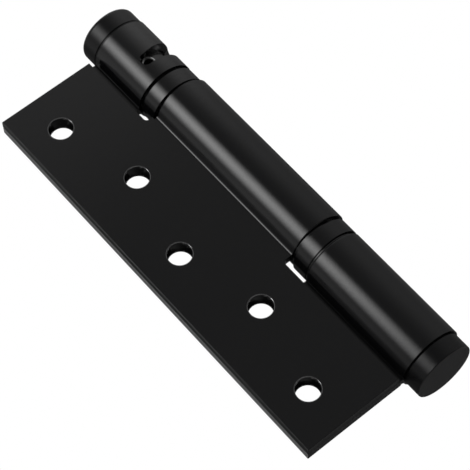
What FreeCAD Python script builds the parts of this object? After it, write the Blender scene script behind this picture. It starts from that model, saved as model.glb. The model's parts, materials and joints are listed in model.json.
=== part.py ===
import FreeCAD, Part
import math
import os

from FreeCAD import Vector

os.makedirs("parts", exist_ok=True)

# Self-closing butt hinge, shown closed. Millimetres.
# Origin: centre of the jamb leaf's seat face. +Y is out of that face, +X runs from the
# leaves to the barrel, +Z runs along the barrel to the end that holds the tension collar.
# Every piece is drawn about the barrel axis and moved to this frame when it is saved.

# Leaves
leaf_height = 127.0
leaf_reach = 41.05
leaf_thickness = 2.4
leaf_gap = 0.3
leaf_setback = 11.05
bend_radius = 1.0
inner_bend_radius = 2.0
seam_gap = 0.25
corner_radius = 1.0
rim_radius = 0.2

# Screw holes, the same in both leaves, countersunk on the faces that meet
screw_hole_radius = 3.4
countersink_radius = 5.0
screw_pitch = 25.55
screw_row_shift = 0.3
outer_column = 30.05
inner_column = 23.95

# Barrel, from the adjuster end down
upper_knuckle_radius = 9.1
middle_knuckle_radius = 8.95
lower_knuckle_radius = 9.3
middle_knuckle_offset = 0.7
upper_knuckle_length = 19.55
middle_knuckle_length = 56.3

# The curls beside the upper ring and at the foot are faced back from the leaves' edges
ring_facing = 1.0
foot_facing = 0.2

# Thrust rings: a band between two shoulders that are turned down
band_height = 4.7
shoulder_radius = 7.95
upper_ring_radius = 8.85
upper_ring_offset = 0.15
relief_depth = 0.6
relief_shift = 0.55
lower_ring_radius = 9.0
lower_ring_offset = 0.25
lower_ring_neck = 1.2
lower_ring_foot = 0.2
race_thickness = 0.35
race_standoff = 0.4
upper_race_radius = 8.1
lower_race_radius = 8.6

# Window in the upper knuckle, through which the tension collar is turned
window_height = 3.8
window_drop = 13.0
window_first_angle = -94.0
window_last_angle = -3.5
window_tilt = 10.0

# Thrust bearings in the two rings
ball_radius = 1.2
ball_circle_radius = 6.1
ball_count = 8

# Turned pieces inside the barrel
journal_radius = 4.0
bush_length = 10.0
rod_hole_radius = 1.4
rod_hole_floor = 2.2
rod_hole_count = 4
rod_hole_rim = 0.5
stop_pin_radius = 1.35
stop_pin_end = 8.6
anchor_length = 6.0
drive_nose = 5.0

# Torsion spring
spring_inner_clearance = 0.25
spring_outer_clearance = 0.4
spring_tail_upset = 0.05
spring_turns = 9.5

# End caps
top_cap_radius = 8.85
top_cap_height = 6.55
top_cap_rounding = 1.2
top_cap_flange = 0.2
bottom_cap_radius = 8.8
bottom_cap_height = 5.4
bottom_cap_rounding = 0.3
cap_groove = 0.5
cap_groove_depth = 0.9
cap_shank_length = 6.5

# Clearances
running_clearance = 0.04
seat_clearance = 0.02
axial_play = 0.05
match_tolerance = 0.01

# Places along the barrel, worked out from the sizes above
seat = leaf_thickness + leaf_gap / 2
axis_x = (leaf_reach + leaf_setback) / 2
half_height = leaf_height / 2
upper_knuckle_z = half_height - upper_knuckle_length
upper_band_z = upper_knuckle_z - ring_facing - band_height
upper_ring_z = upper_band_z - ring_facing
upper_ring_top = upper_knuckle_z - race_thickness - axial_play
middle_knuckle_z = upper_ring_z - middle_knuckle_length
lower_band_z = middle_knuckle_z - lower_ring_neck - band_height
lower_ring_z = lower_band_z - lower_ring_foot
lower_race_z = lower_ring_z - axial_play - race_thickness
lower_knuckle_z = lower_race_z - race_standoff
foot_z = foot_facing - half_height
window_z = half_height - window_drop
upper_bore = upper_knuckle_radius - leaf_thickness
middle_bore = middle_knuckle_radius - leaf_thickness
lower_bore = lower_knuckle_radius - leaf_thickness
spring_room = middle_bore - journal_radius
spring_wire_radius = (spring_room - spring_inner_clearance - spring_outer_clearance) / 2
spring_radius = journal_radius + spring_inner_clearance + spring_wire_radius
spring_tail_radius = spring_wire_radius + spring_tail_upset


def unit(v):
    return v / v.Length


def rod(radius, z, height):
    return Part.makeCylinder(radius, height, Vector(0, 0, z))


def tube(outer, inner, z, height):
    return rod(outer, z, height).cut(rod(inner, z, height))


def disc(radius, offset, z, height):
    return Part.makeCylinder(radius, height, Vector(offset, 0, z))


def radial_rod(radius, start, end, angle, z):
    """A round bar that points out from the barrel axis at an angle about it."""
    out = Vector(math.cos(math.radians(angle)), math.sin(math.radians(angle)), 0)
    return Part.makeCylinder(radius, end - start, out * start + Vector(0, 0, z), out)


def knuckle(radius, offset, bore, z, length):
    """A curl rolled from the leaf on the -Y side and back to the seam at its inner face."""
    inner = leaf_gap / 2
    centre = Vector(offset, 0, 0)

    foot_x = offset - math.sqrt((radius + bend_radius) ** 2 - (seat + bend_radius) ** 2)
    foot = Vector(foot_x, -seat - bend_radius, 0)
    to_curl = unit(centre - foot)
    bend_start = Vector(foot_x, -seat, 0)
    bend_middle = foot + unit(to_curl + Vector(0, 1, 0)) * bend_radius
    bend_end = foot + to_curl * bend_radius

    seam_y = seam_gap - inner
    curl_tip = Vector(offset - math.sqrt(radius ** 2 - seam_y ** 2), seam_y, 0)
    bore_tip = Vector(-math.sqrt(bore ** 2 - seam_y ** 2), seam_y, 0)

    heel_x = -math.sqrt((bore + inner_bend_radius) ** 2 - (inner + inner_bend_radius) ** 2)
    heel = Vector(heel_x, -inner - inner_bend_radius, 0)
    to_bore = unit(-heel)
    heel_start = heel + to_bore * inner_bend_radius
    heel_middle = heel + unit(to_bore + Vector(0, 1, 0)) * inner_bend_radius
    heel_end = Vector(heel_x, -inner, 0)

    stub_outer = Vector(-leaf_setback, -seat, 0)
    stub_inner = Vector(-leaf_setback, -inner, 0)
    outline = [
        Part.LineSegment(stub_outer, bend_start),
        Part.Arc(bend_start, bend_middle, bend_end),
        Part.Arc(bend_end, centre + Vector(radius, 0, 0), curl_tip),
        Part.LineSegment(curl_tip, bore_tip),
        Part.Arc(bore_tip, Vector(bore, 0, 0), heel_start),
        Part.Arc(heel_start, heel_middle, heel_end),
        Part.LineSegment(heel_end, stub_inner),
        Part.LineSegment(stub_inner, stub_outer),
    ]
    face = Part.Face(Part.Wire([curve.toShape() for curve in outline]))
    face.translate(Vector(0, 0, z))
    return face.extrude(Vector(0, 0, length))


def screw_places():
    """Zigzag of holes: every second one lies in the column nearer the barrel."""
    places = []
    for step in range(-2, 3):
        column = inner_column if step % 2 else outer_column
        places.append((-column, screw_row_shift + step * screw_pitch))
    return places


def screw_cutters():
    """Straight holes from the seat face, with cones that open to the inner face."""
    depth = countersink_radius - screw_hole_radius
    cutters = []
    for x, z in screw_places():
        cutters.append(Part.makeCylinder(screw_hole_radius, leaf_thickness,
                                         Vector(x, -seat, z), Vector(0, 1, 0)))
        cutters.append(Part.makeCone(screw_hole_radius, countersink_radius, depth,
                                     Vector(x, -leaf_gap / 2 - depth, z), Vector(0, 1, 0)))
    return cutters


def lies_at(edge, axis, value):
    """Whether all of an edge has one x, y or z."""
    box = edge.BoundBox
    low, high = {"x": (box.XMin, box.XMax), "y": (box.YMin, box.YMax), "z": (box.ZMin, box.ZMax)}[axis]
    return abs(low - value) < match_tolerance and abs(high - value) < match_tolerance


def outline_edges(body):
    """Edges round both faces of the plate, its far corners and the screw holes on the seat face."""
    edges = []
    for edge in body.Edges:
        on_seat = lies_at(edge, "y", -seat)
        on_face = on_seat or lies_at(edge, "y", -leaf_gap / 2)
        on_side = lies_at(edge, "x", -leaf_reach) or lies_at(edge, "x", -leaf_setback)
        on_end = lies_at(edge, "z", half_height) or lies_at(edge, "z", -half_height)
        far_corner = lies_at(edge, "x", -leaf_reach) and lies_at(edge, "z", edge.CenterOfMass.z)
        hole = on_seat and len(edge.Vertexes) == 1
        if on_face and (on_side or on_end) or far_corner or hole:
            edges.append(edge)
    return edges


def leaf(knuckles, inside_corners):
    """A plate with its knuckles and rounded rims, drawn on the -Y side of the gap."""
    plate = Part.makeBox(leaf_reach - leaf_setback, leaf_thickness, leaf_height,
                         Vector(-leaf_reach, -seat, -half_height))
    body = plate.fuse(knuckles).removeSplitter()
    corners = []
    for edge in body.Edges:
        middle = edge.CenterOfMass
        upright = abs(middle.y + seat - leaf_thickness / 2) < match_tolerance
        if upright and abs(middle.x + leaf_setback) < match_tolerance:
            if any(abs(middle.z - z) < match_tolerance for z in inside_corners):
                corners.append(edge)
    body = body.makeFillet(corner_radius, corners).cut(screw_cutters())
    return body.makeFillet(rim_radius, outline_edges(body))


def mirror_to_jamb(shape):
    return shape.mirror(Vector(0, 0, 0), Vector(0, 1, 0))


def facing_cutter(radius, offset, z, height):
    """Takes the end of a curl back and leaves the leaf beside it."""
    return disc(radius + bend_radius, offset, z, height)


def window_cutter():
    """A slot part of the way round the upper knuckle, with round ends, milled level and then tilted."""
    height = window_height
    span = window_last_angle - window_first_angle
    start = Vector(0, 0, window_z - height / 2)
    reach = upper_knuckle_radius + leaf_thickness
    sector = Part.makeCylinder(reach, height, start, Vector(0, 0, 1), span)
    sector.rotate(Vector(0, 0, 0), Vector(0, 0, 1), window_first_angle)
    ends = [radial_rod(height / 2, 0, reach, angle, window_z)
            for angle in (window_first_angle, window_last_angle)]
    level = sector.fuse(ends)
    tilted = level.copy()
    tilted.rotate(Vector(0, 0, window_z), Vector(0, -1, 0), window_tilt)
    return level.fuse(tilted)


def door_leaf():
    middle = knuckle(middle_knuckle_radius, middle_knuckle_offset, middle_bore,
                     middle_knuckle_z, middle_knuckle_length + ring_facing)
    body = leaf([middle], [middle_knuckle_z, upper_band_z])
    return body.cut(facing_cutter(middle_knuckle_radius, middle_knuckle_offset, upper_ring_z, ring_facing))


def jamb_leaf():
    upper_root_z = upper_knuckle_z - ring_facing
    upper = knuckle(upper_knuckle_radius, 0.0, upper_bore, upper_root_z, upper_knuckle_length + ring_facing)
    lower = knuckle(lower_knuckle_radius, 0.0, lower_bore, -half_height, lower_knuckle_z + half_height)
    body = mirror_to_jamb(leaf([upper, lower], [upper_root_z, lower_knuckle_z]))
    return body.cut([window_cutter(), facing_cutter(upper_knuckle_radius, 0.0, upper_root_z, ring_facing),
                     facing_cutter(lower_knuckle_radius, 0.0, -half_height, foot_facing)])


def end_cap(radius, height, bore, groove_z, rounding):
    """A cap that points up, with a groove under its head and a shank in the bore."""
    head_z = groove_z + cap_groove
    head = rod(radius, head_z, height - head_z)
    head = head.makeFillet(rounding, [edge for edge in head.Edges if lies_at(edge, "z", height)])
    neck = rod(radius - cap_groove_depth, 0, head_z)
    shank = rod(bore - seat_clearance, -cap_shank_length, cap_shank_length)
    return head.fuse([neck, shank])


def top_cap():
    """It sits on the upper knuckle with a flange as wide as the curl."""
    cap = end_cap(top_cap_radius, top_cap_height, upper_bore, top_cap_flange, top_cap_rounding)
    cap = cap.fuse(rod(upper_knuckle_radius, 0, top_cap_flange)).removeSplitter()
    cap.translate(Vector(0, 0, half_height))
    return cap


def bottom_cap():
    cap = end_cap(bottom_cap_radius, bottom_cap_height, lower_bore, 0, bottom_cap_rounding).removeSplitter()
    cap.rotate(Vector(0, 0, 0), Vector(1, 0, 0), 180)
    cap.translate(Vector(0, 0, foot_z))
    return cap


def ring_hollow(groove_z):
    """What every ring leaves free: the journal's bore and the open groove for its balls."""
    half_width = ball_radius + axial_play
    groove = tube(ball_circle_radius + half_width, ball_circle_radius - half_width, groove_z, groove_depth)
    return [rod(journal_radius + running_clearance, -half_height, leaf_height), groove]


def upper_ring():
    """Its lower shoulder is turned off centre: deep beside the leaves, next to nothing opposite."""
    band = disc(upper_ring_radius, upper_ring_offset, upper_band_z, band_height)
    band_top = upper_band_z + band_height
    shoulder = rod(shoulder_radius, band_top, upper_ring_top - band_top)
    relief = disc(upper_ring_radius - relief_depth, upper_ring_offset + relief_shift, upper_ring_z, ring_facing)
    return band.fuse([shoulder, relief]).cut(ring_hollow(upper_groove_z))


def lower_ring():
    band = disc(lower_ring_radius, lower_ring_offset, lower_band_z, band_height)
    core = rod(shoulder_radius, lower_ring_z, middle_knuckle_z - lower_ring_z)
    return band.fuse(core).removeSplitter().cut(ring_hollow(lower_groove_z))


def bearing_balls(name, z):
    """Balls that run between a ring's groove and the race beside it."""
    for number in range(ball_count):
        angle = 2 * math.pi * number / ball_count
        place = Vector(math.cos(angle), math.sin(angle), 0) * ball_circle_radius
        save("%s_ball_%d" % (name, number + 1), Part.makeSphere(ball_radius, place + Vector(0, 0, z)))


def bearing_race(radius, z):
    return tube(radius, journal_radius + running_clearance, z, race_thickness)


def drive_slot(z):
    """The cross slot that holds a straight end of the spring."""
    width = 2 * (spring_tail_radius + axial_play)
    length = 2 * spring_radius
    return Part.makeBox(length, width, drive_nose, Vector(-length / 2, -width / 2, z))


def rod_hole(angle):
    """A cross hole of the collar with a countersunk rim."""
    hole = radial_rod(rod_hole_radius, rod_hole_floor, upper_bore, angle, window_z)
    rim = Part.makeCone(rod_hole_radius, rod_hole_radius + rod_hole_rim, rod_hole_rim,
                        Vector(upper_bore - rod_hole_rim, 0, window_z), Vector(1, 0, 0))
    rim.rotate(Vector(0, 0, 0), Vector(0, 0, 1), angle)
    return hole.fuse(rim)


def tension_collar():
    """Turns in the upper knuckle; its neck is the upper pivot and drives the spring."""
    shoulder = upper_knuckle_z + axial_play
    top = half_height - cap_shank_length - axial_play
    body = rod(upper_bore - running_clearance, shoulder, top - shoulder)
    neck = rod(journal_radius, collar_nose_z, shoulder - collar_nose_z)
    holes = [rod_hole(360.0 * n / rod_hole_count) for n in range(rod_hole_count)]
    return body.fuse(neck).removeSplitter().cut(holes + [drive_slot(collar_nose_z)])


def stop_pin():
    """Stands in the collar's hole and bears on the end of the window."""
    return radial_rod(stop_pin_radius, rod_hole_floor + seat_clearance, stop_pin_end, 0.0, window_z)


def bush(z):
    return tube(middle_bore - seat_clearance, journal_radius + running_clearance, z, bush_length)


def spring_anchor():
    """Plug in the middle knuckle, with a slotted nose for the spring's lower end."""
    plug = rod(middle_bore - seat_clearance, anchor_z, anchor_length)
    nose = rod(journal_radius, anchor_z + anchor_length, drive_nose)
    return plug.fuse(nose).removeSplitter().cut(drive_slot(anchor_z + anchor_length))


def pivot_post():
    """Fixed in the lower knuckle; its journal is the lower pivot."""
    foot = foot_z + cap_shank_length + axial_play
    body = rod(lower_bore - seat_clearance, foot, lower_race_z - foot)
    journal = rod(journal_radius, lower_race_z, post_journal_top - lower_race_z)
    return body.fuse(journal).removeSplitter()


def spring():
    """Left-handed coil. Its ends are upset a little and cross the axis in the drive slots."""
    height = spring_top - spring_bottom
    helix = Part.makeHelix(height / spring_turns, height, spring_radius, 0, True)
    start = Vector(spring_radius, 0, 0)
    turned = 2 * math.pi * spring_turns
    finish = Vector(spring_radius * math.cos(turned), -spring_radius * math.sin(turned), height)
    section = Part.Wire(Part.makeCircle(spring_wire_radius, start, Vector(0, 1, 0)))
    coil = Part.Wire(helix).makePipeShell([section], True, True)
    tail_length = spring_tail_radius + spring_radius + journal_radius
    tails = []
    for place in (start, finish):
        inward = unit(Vector(-place.x, -place.y, 0))
        tails.append(Part.makeCylinder(spring_tail_radius, tail_length,
                                       place - inward * spring_tail_radius, inward))
    body = coil.fuse(tails)
    body.translate(Vector(0, 0, spring_bottom))
    return body


def save(name, shape):
    placed = shape.copy()
    placed.translate(Vector(axis_x, -seat, 0))
    placed.exportStep("parts/%s.step" % name)


# Bearing grooves
groove_depth = 2 * ball_radius + axial_play
upper_groove_z = upper_ring_top - groove_depth
lower_groove_z = lower_ring_z
upper_ball_z = upper_groove_z + ball_radius + axial_play / 2
lower_ball_z = lower_groove_z + ball_radius + axial_play / 2

# Bushes, spring and its two drives, inside the middle knuckle
upper_bush_z = upper_ring_z - bush_length
lower_bush_z = middle_knuckle_z
anchor_z = lower_bush_z + bush_length
post_journal_top = anchor_z - axial_play
collar_nose_z = upper_bush_z - drive_nose
spring_top = collar_nose_z + drive_nose / 2
spring_bottom = anchor_z + anchor_length + drive_nose / 2

save("jamb_leaf", jamb_leaf())
save("door_leaf", door_leaf())
save("top_cap", top_cap())
save("bottom_cap", bottom_cap())
save("tension_collar", tension_collar())
save("stop_pin", stop_pin())
save("upper_race", bearing_race(upper_race_radius, upper_knuckle_z - race_thickness))
save("upper_ring", upper_ring())
save("upper_bush", bush(upper_bush_z))
save("spring", spring())
save("spring_anchor", spring_anchor())
save("lower_bush", bush(lower_bush_z))
save("lower_ring", lower_ring())
save("lower_race", bearing_race(lower_race_radius, lower_race_z))
save("pivot_post", pivot_post())
bearing_balls("upper", upper_ball_z)
bearing_balls("lower", lower_ball_z)
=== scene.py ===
import json
import math
import bpy
from mathutils import Matrix, Vector


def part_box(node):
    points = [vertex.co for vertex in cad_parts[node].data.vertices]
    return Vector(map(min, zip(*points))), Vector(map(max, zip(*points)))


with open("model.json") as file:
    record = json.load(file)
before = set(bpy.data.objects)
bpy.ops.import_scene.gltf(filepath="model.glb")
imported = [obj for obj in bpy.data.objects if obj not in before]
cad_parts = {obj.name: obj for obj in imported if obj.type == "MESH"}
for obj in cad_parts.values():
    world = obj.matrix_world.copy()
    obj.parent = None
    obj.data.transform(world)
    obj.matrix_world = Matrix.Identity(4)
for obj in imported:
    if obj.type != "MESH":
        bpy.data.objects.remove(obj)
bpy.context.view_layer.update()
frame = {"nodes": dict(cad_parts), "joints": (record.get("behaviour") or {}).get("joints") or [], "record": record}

# Camera, in metres, in the frame of the hinge: origin in the middle of the jamb leaf's seat
# face, +X towards the barrel, +Z along it. It looks up at the door leaf's side.
CAMERA_PLACE = Vector((-0.14635, -0.45091, -0.2079))
CAMERA_RIGHT = Vector((0.7679, 0.0215, -0.6402))
CAMERA_BACK = Vector((-0.3050, -0.8666, -0.3949))
FOCAL_PX = 1966.0
PICTURE_PX = 470
SENSOR_MM = 36.0
NEAREST = 0.01


def make_camera():
    data = bpy.data.cameras.new("camera")
    data.sensor_width = SENSOR_MM
    data.lens = FOCAL_PX / PICTURE_PX * SENSOR_MM
    data.clip_start = NEAREST
    back = CAMERA_BACK.normalized()
    up = back.cross(CAMERA_RIGHT).normalized()
    right = up.cross(back)
    camera = bpy.data.objects.new("camera", data)
    camera.matrix_world = Matrix.Translation(CAMERA_PLACE) @ Matrix((right, up, back)).transposed().to_4x4()
    bpy.context.collection.objects.link(camera)
    bpy.context.scene.camera = camera


class Socket:
    """An output socket that works in sums, products and the maths below."""

    def __init__(self, tree, link):
        self.tree = tree
        self.link = link

    def maths(self, operation, *others):
        return self.tree.node("ShaderNodeMath", {"operation": operation}, [self, *others])

    def __add__(self, other):
        return self.maths("ADD", other)

    def __radd__(self, other):
        return self.maths("ADD", other)

    def __sub__(self, other):
        return self.maths("SUBTRACT", other)

    def __rsub__(self, other):
        return self.tree.node("ShaderNodeMath", {"operation": "SUBTRACT"}, [other, self])

    def __mul__(self, other):
        return self.maths("MULTIPLY", other)

    def __rmul__(self, other):
        return self.maths("MULTIPLY", other)

    def __truediv__(self, other):
        return self.maths("DIVIDE", other)

    def between(self, low, high):
        """0 at low, 1 at high, smooth between."""
        return self.tree.node("ShaderNodeMapRange", {"interpolation_type": "SMOOTHSTEP"}, {
            "Value": self, "From Min": low, "From Max": high})

    def vector_maths(self, operation, *others, out=0):
        return self.tree.node("ShaderNodeVectorMath", {"operation": operation}, [self, *others], out=out)

    def along(self, direction):
        """How far this vector goes along a direction."""
        return self.vector_maths("DOT_PRODUCT", tuple(direction), out="Value")


class Tree:
    """The nodes of one material or of the world."""

    def __init__(self, owner):
        owner.use_nodes = True
        self.nodes = owner.node_tree.nodes
        self.links = owner.node_tree.links
        self.nodes.clear()

    def node(self, kind, settings=None, values=None, out=0):
        """Adds a node. Settings are set first, then values or links by socket name or in order."""
        made = self.nodes.new(kind)
        for name, value in (settings or {}).items():
            setattr(made, name, value)
        pairs = values.items() if isinstance(values, dict) else enumerate(values or [])
        for name, value in pairs:
            if isinstance(value, Socket):
                self.links.new(value.link, made.inputs[name])
            else:
                made.inputs[name].default_value = value
        return Socket(self, made.outputs[out]) if len(made.outputs) else made

    def mix(self, amount, first, second):
        """A colour between two colours. The node's colours are its sockets 6 and 7 and its output 2."""
        return self.node("ShaderNodeMix", {"data_type": "RGBA"}, {0: amount, 6: first, 7: second}, out=2)

    def place(self):
        """The object's own coordinates, in metres in the frame of the hinge at rest."""
        return self.node("ShaderNodeTexCoord", out="Object")

    def camera_ray(self):
        """1 for what the camera sees directly, 0 for light and reflections."""
        return self.node("ShaderNodeLightPath", out="Is Camera Ray")


def grey(level):
    return (level, level, level, 1.0)


def speckle(tree, place, size, detail=2.0):
    """Noise with lumps of about that size in metres."""
    return tree.node("ShaderNodeTexNoise", {}, {"Vector": place, "Scale": 1.0 / size, "Detail": detail})


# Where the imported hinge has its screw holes, its faces and the tension rod's hole. Going up a
# leaf, each screw lies one pitch higher and in the other column.
MM = 0.001
MOUNTS = {mount["name"]: mount for mount in frame["record"]["mounts"]}
OUTER_SCREWS = MOUNTS["door_screws_outer"]
SCREWS_PER_LEAF = 5
SCREW_PITCH = OUTER_SCREWS["dims"]["spacing_y_mm"] * MM / (SCREWS_PER_LEAF - 1)
SCREW_RADIUS = OUTER_SCREWS["dims"]["hole_r_mm"] * MM
OUTER_COLUMN, DOOR_FACE, SCREW_MIDDLE = OUTER_SCREWS["pos_m"]
INNER_COLUMN = MOUNTS["door_screws_inner"]["pos_m"][0]
FAR_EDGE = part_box("jamb_leaf")[0].x
GAP_MIDDLE = frame["joints"][0]["pos_m"][1]
ROD_HOLE = MOUNTS["tension_rod_hole"]
ROD_HOLE_RADIUS = ROD_HOLE["dims"]["r_mm"] * MM

# The black paint. Sizes are in metres.
PAINT = (0.005, 0.005, 0.0055, 1.0)
PEEL_SIZE = 0.0011
GRAIN_SIZE = 0.00035
CLOUD_SIZE = 0.02
PEEL_SHARE = 0.7
PAINT_BUMP = 0.25
PAINT_DEPTH = 0.00004
CLOUD_GLOSS = 0.06
GRAIN_GLOSS = 0.10

# Painted highlights: a lighter, partly metallic grey on the rims of the door leaf's screw holes and on the jamb
# leaf's far edge stands in for the light their edges catch
PAINTED_HIGHLIGHT_GREY = grey(0.305)
RIM_WIDTH = 0.0002
RIM_BLUR = 0.00002
EDGE_WIDTH = 0.0001
EDGE_HIGHLIGHT_SHINE = 0.3

# The tension collar's black steel, and a bright metal ring on the rim of its rod hole: partly wear, partly a
# painted glint
BLACKENED = grey(0.015)
BLACKENED_ROUGHNESS = 0.15
OIL_SIZE = 0.0004
OIL_GLOSS = 0.1
WEAR_AND_GLINT_GREY = grey(0.515)
WEAR_AND_GLINT_WIDTH = 0.0005
WEAR_AND_GLINT_BLUR = 0.0001

# Fine rings that the lathe leaves on turned metal
RING_SIZE = 0.0003
RING_STRETCH = 0.02
RING_GLOSS = 0.2
RING_BUMP = 0.1
RING_DEPTH = 0.00002


def painted_highlight_masks(tree, place):
    """Masks for the painted highlights: the rims of the door leaf's screw holes, and the jamb leaf's far edge."""
    x = place.along((1, 0, 0))
    y = place.along((0, 1, 0))
    z = place.along((0, 0, 1))
    to_outer = (z - SCREW_MIDDLE).maths("PINGPONG", SCREW_PITCH)
    to_inner = SCREW_PITCH - to_outer
    outer = (x - OUTER_COLUMN) * (x - OUTER_COLUMN) + to_outer * to_outer
    inner = (x - INNER_COLUMN) * (x - INNER_COLUMN) + to_inner * to_inner
    radius = outer.maths("MINIMUM", inner).maths("SQRT")
    on_face = y.maths("LESS_THAN", DOOR_FACE + RIM_WIDTH)
    rim_radius = SCREW_RADIUS + RIM_WIDTH
    rim = radius.between(rim_radius + RIM_BLUR, rim_radius - RIM_BLUR) * on_face
    edge = x.between(FAR_EDGE + EDGE_WIDTH, FAR_EDGE) * y.maths("GREATER_THAN", GAP_MIDDLE)
    return rim, edge


def coated_steel(name, roughness, specular, painted_highlights=False):
    """Stoved black paint: a fine orange peel, and a dust-sized grain in its gloss. On request, a lighter, metallic
    grey is painted on the screw holes' rims and the jamb leaf's far edge as their highlights.
    """
    material = bpy.data.materials.new(name)
    tree = Tree(material)
    place = tree.place()
    peel = speckle(tree, place, PEEL_SIZE)
    grain = speckle(tree, place, GRAIN_SIZE, detail=1.0)
    cloud = speckle(tree, place, CLOUD_SIZE, detail=3.0)
    bump = tree.node("ShaderNodeBump", {}, {
        "Strength": PAINT_BUMP, "Distance": PAINT_DEPTH,
        "Height": PEEL_SHARE * peel + (1.0 - PEEL_SHARE) * grain})
    gloss = roughness + CLOUD_GLOSS * (cloud - 0.5) + GRAIN_GLOSS * (grain - 0.5)
    values = {"Base Color": PAINT, "Roughness": gloss, "Specular IOR Level": specular, "Normal": bump}
    # Painted highlights: the screw holes' rims and the far edge get a lighter grey and more metal, standing in for
    # the light their edges catch
    if painted_highlights:
        rim, edge = painted_highlight_masks(tree, place)
        values["Base Color"] = tree.mix(rim.maths("MAXIMUM", edge), PAINT, PAINTED_HIGHLIGHT_GREY)
        values["Metallic"] = rim + EDGE_HIGHLIGHT_SHINE * edge
    shader = tree.node("ShaderNodeBsdfPrincipled", {}, values)
    tree.node("ShaderNodeOutputMaterial", {}, {"Surface": shader})
    return material


def turned_metal(name, colour, roughness):
    """Turned metal with fine rings around the barrel's line."""
    material = bpy.data.materials.new(name)
    tree = Tree(material)
    rings = tree.node("ShaderNodeMapping", {}, {
        "Vector": tree.place(), "Scale": (RING_STRETCH, RING_STRETCH, 1.0)})
    lines = speckle(tree, rings, RING_SIZE, detail=3.0)
    gloss = roughness + RING_GLOSS * (lines - 0.5)
    bump = tree.node("ShaderNodeBump", {}, {"Strength": RING_BUMP, "Distance": RING_DEPTH, "Height": lines})
    shader = tree.node("ShaderNodeBsdfPrincipled", {}, {
        "Base Color": colour, "Roughness": gloss, "Metallic": 1.0, "Normal": bump})
    tree.node("ShaderNodeOutputMaterial", {}, {"Surface": shader})
    return material


def blackened_steel(name):
    """Black oiled steel, with a bright metal ring on the rim of the tension rod's hole: partly wear, partly a
    painted glint where its chamfer catches light.
    """
    material = bpy.data.materials.new(name)
    tree = Tree(material)
    place = tree.place()
    off_hole = place.vector_maths("SUBTRACT", tuple(ROD_HOLE["pos_m"]))
    radius = off_hole.vector_maths("MULTIPLY", (1.0, 0.0, 1.0)).vector_maths("LENGTH", out="Value")
    outer_radius = ROD_HOLE_RADIUS + WEAR_AND_GLINT_WIDTH
    rim = (radius.between(ROD_HOLE_RADIUS, ROD_HOLE_RADIUS + WEAR_AND_GLINT_BLUR)
           * radius.between(outer_radius + WEAR_AND_GLINT_BLUR, outer_radius))
    oil = speckle(tree, place, OIL_SIZE)
    # The rod hole's rim is bright metal: partly wear, partly a painted glint
    shader = tree.node("ShaderNodeBsdfPrincipled", {}, {
        "Base Color": tree.mix(rim, BLACKENED, WEAR_AND_GLINT_GREY), "Metallic": rim,
        "Roughness": BLACKENED_ROUGHNESS + OIL_GLOSS * oil})
    tree.node("ShaderNodeOutputMaterial", {}, {"Surface": shader})
    return material


def make_materials():
    return {
        "black_paint": coated_steel("black_paint", 0.16, 0.5, painted_highlights=True),
        "cap_paint": coated_steel("cap_paint", 0.24, 0.3),
        "blackened_steel": blackened_steel("blackened_steel"),
        "bright_steel": turned_metal("bright_steel", (0.55, 0.55, 0.56, 1.0), 0.3),
        "brass": turned_metal("brass", (0.72, 0.53, 0.25, 1.0), 0.3),
        "spring_steel": turned_metal("spring_steel", (0.35, 0.35, 0.37, 1.0), 0.4),
        "ball_steel": turned_metal("ball_steel", (0.75, 0.75, 0.77, 1.0), 0.12),
    }


def paint_nodes(materials):
    """Every node takes the finish of its record's slot, apart from the caps, whose paint is duller."""
    for part in frame["record"]["subparts"]:
        duller = part["node"] in ("top_cap", "bottom_cap")
        finish = "cap_paint" if duller else part["material_slot"]
        for slot in frame["nodes"][part["node"]].material_slots:
            slot.material = materials[finish]


# The room that reflections show. Levels are brightness, and 1 is the camera's white. A pair
# gives where a change starts and ends, as the share of a direction that points that way.
LOW_LEVEL = 0.155
LOW_BRIGHT = 0.19
HIGH_LEVEL = 0.25
HIGH_BRIGHT = 0.70
HIGH_STARTS = (0.44, 0.50)
BRIGHT_SIDE = math.radians(-36.0)
BRIGHT_FOCUS = 5.0

# Two parts of the room that are dimmed: straight behind the hinge, and behind it on the left
DIMMED = 0.48
BEHIND_STARTS = (0.75, 0.93)
BEHIND_LEFT = math.radians(115.0)
BEHIND_LEFT_STARTS = (0.8, 0.95)

# The soft window of light up on the left, and its dim tail. Half widths are shares of the distance.
KEY_LEVEL = 5.7
KEY_AZIMUTH = math.radians(-133.7)
KEY_HEIGHT = math.radians(25.7)
KEY_HALF_WIDTH = 0.48
KEY_HALF_HEIGHT = 0.26
KEY_FADES = (0.0, 0.1)
TAIL_LEVEL = 0.4
TAIL_SHIFT = 1.0
TAIL_FADES = (0.9, 0.3)
TAIL_HEIGHT = 0.42


def level_way(azimuth):
    return Vector((math.cos(azimuth), math.sin(azimuth), 0.0))


def key_light(direction):
    """A soft window of light up on the left, brightest in its middle, with a dim tail further left."""
    across = level_way(KEY_AZIMUTH + math.pi / 2)
    towards = level_way(KEY_AZIMUTH) * math.cos(KEY_HEIGHT) + Vector((0.0, 0.0, math.sin(KEY_HEIGHT)))
    upward = across.cross(towards)
    ahead = direction.along(towards)
    sideways = direction.along(across) / ahead
    height = direction.along(upward) / ahead
    window = (sideways.maths("ABSOLUTE").between(KEY_HALF_WIDTH, 0.0)
              * height.maths("ABSOLUTE").between(KEY_HALF_HEIGHT, 0.0))
    above_level = direction.along((0.0, 0.0, 1.0)) - TAIL_HEIGHT
    tail = ((sideways + TAIL_SHIFT).maths("ABSOLUTE").between(*TAIL_FADES)
            * above_level.maths("ABSOLUTE").between(KEY_HALF_HEIGHT, 0.0))
    return (KEY_LEVEL * window + TAIL_LEVEL * tail) * ahead.between(*KEY_FADES)


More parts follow.
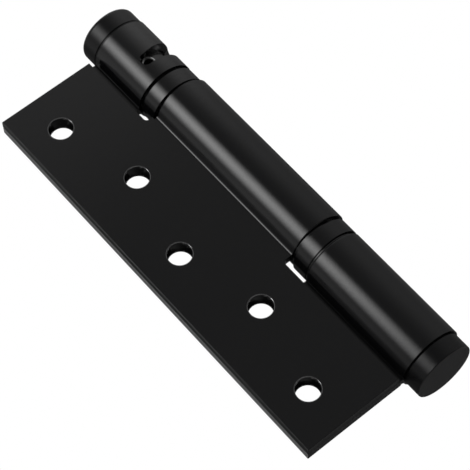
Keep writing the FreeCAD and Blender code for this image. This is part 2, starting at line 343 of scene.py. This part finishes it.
def make_world():
    """White to the camera. Reflections show a dim room, brighter to the right and high up, dark behind."""
    world = bpy.data.worlds.new("studio")
    bpy.context.scene.world = world
    tree = Tree(world)
    direction = tree.node("ShaderNodeTexCoord", out="Generated")
    high = direction.along((0.0, 0.0, 1.0)).between(*HIGH_STARTS)
    level = direction.vector_maths("MULTIPLY", (1.0, 1.0, 0.0)).vector_maths("NORMALIZE")
    side = level.along(level_way(BRIGHT_SIDE)).maths("MAXIMUM", 0.0).maths("POWER", BRIGHT_FOCUS)
    low_room = LOW_LEVEL + LOW_BRIGHT * side
    high_room = HIGH_LEVEL + HIGH_BRIGHT * side
    room = low_room + (high_room - low_room) * high
    behind = direction.along(-CAMERA_BACK).between(*BEHIND_STARTS)
    behind_left = level.along(level_way(BEHIND_LEFT)).between(*BEHIND_LEFT_STARTS)
    dimming = (1.0 - (1.0 - DIMMED) * behind) * (1.0 - (1.0 - DIMMED) * behind_left)
    lit = room * dimming + key_light(direction)
    strength = lit.maths("MAXIMUM", tree.camera_ray())
    background = tree.node("ShaderNodeBackground", {}, {"Color": grey(1.0), "Strength": strength})
    tree.node("ShaderNodeOutputWorld", {}, {"Surface": background})


# The one lamp. It lights the top cap and the upper faces. Sizes are in metres, power in watts.
PANEL_WAY = (-0.25, 0.25, 0.93)
PANEL_AWAY = 0.9
PANEL_SIZE = 0.6
PANEL_POWER = 0.6
HINGE_MIDDLE = Vector((0.0, GAP_MIDDLE, 0.0))


def make_top_panel():
    """A square softbox over the hinge that faces its middle."""
    data = bpy.data.lights.new("top_panel", "AREA")
    data.shape = "SQUARE"
    data.size = PANEL_SIZE
    data.energy = PANEL_POWER
    lamp = bpy.data.objects.new("top_panel", data)
    way = Vector(PANEL_WAY).normalized()
    lamp.rotation_euler = way.to_track_quat("Z", "Y").to_euler()
    lamp.location = HINGE_MIDDLE + way * PANEL_AWAY
    bpy.context.collection.objects.link(lamp)


# The floor, in metres. The strip and the round are only in what reflections see of it.
FLOOR_HEIGHT = -0.32
FLOOR_SIZE = 8.0
STRIP_NEAR = (-0.3, -0.1)
STRIP_FAR = (0.5, 0.33)
ROUND_ENDS = (1.5, 2.0)
DARK_PAPER = 0.15
LIGHT_PAPER = 0.9


def make_floor():
    """Pale floor under the hinge, white to the camera. Reflections show a dark round with a light strip."""
    bpy.ops.object.select_all(action="DESELECT")
    bpy.ops.mesh.primitive_plane_add(size=FLOOR_SIZE, location=(0, 0, FLOOR_HEIGHT))
    floor = bpy.context.object
    floor.name = "floor"
    material = bpy.data.materials.new("floor_paper")
    tree = Tree(material)
    place = tree.place()
    seen = tree.node("ShaderNodeEmission", {}, {"Color": grey(1.0), "Strength": 1.0})
    dark = tree.node("ShaderNodeBsdfDiffuse", {}, {"Color": grey(DARK_PAPER)})
    light = tree.node("ShaderNodeBsdfDiffuse", {}, {"Color": grey(LIGHT_PAPER)})
    depth = place.along((0.0, 1.0, 0.0))
    strip = depth.between(*STRIP_NEAR) * depth.between(*STRIP_FAR)
    away = place.vector_maths("LENGTH", out="Value")
    bright = strip.maths("MAXIMUM", away.between(*ROUND_ENDS))
    paper = tree.node("ShaderNodeMixShader", {}, [bright, dark, light])
    surface = tree.node("ShaderNodeMixShader", {}, [tree.camera_ray(), paper, seen])
    tree.node("ShaderNodeOutputMaterial", {}, {"Surface": surface})
    floor.data.materials.append(material)


make_camera()
make_world()
make_top_panel()
make_floor()
paint_nodes(make_materials())
bpy.context.scene.view_settings.view_transform = "Standard"
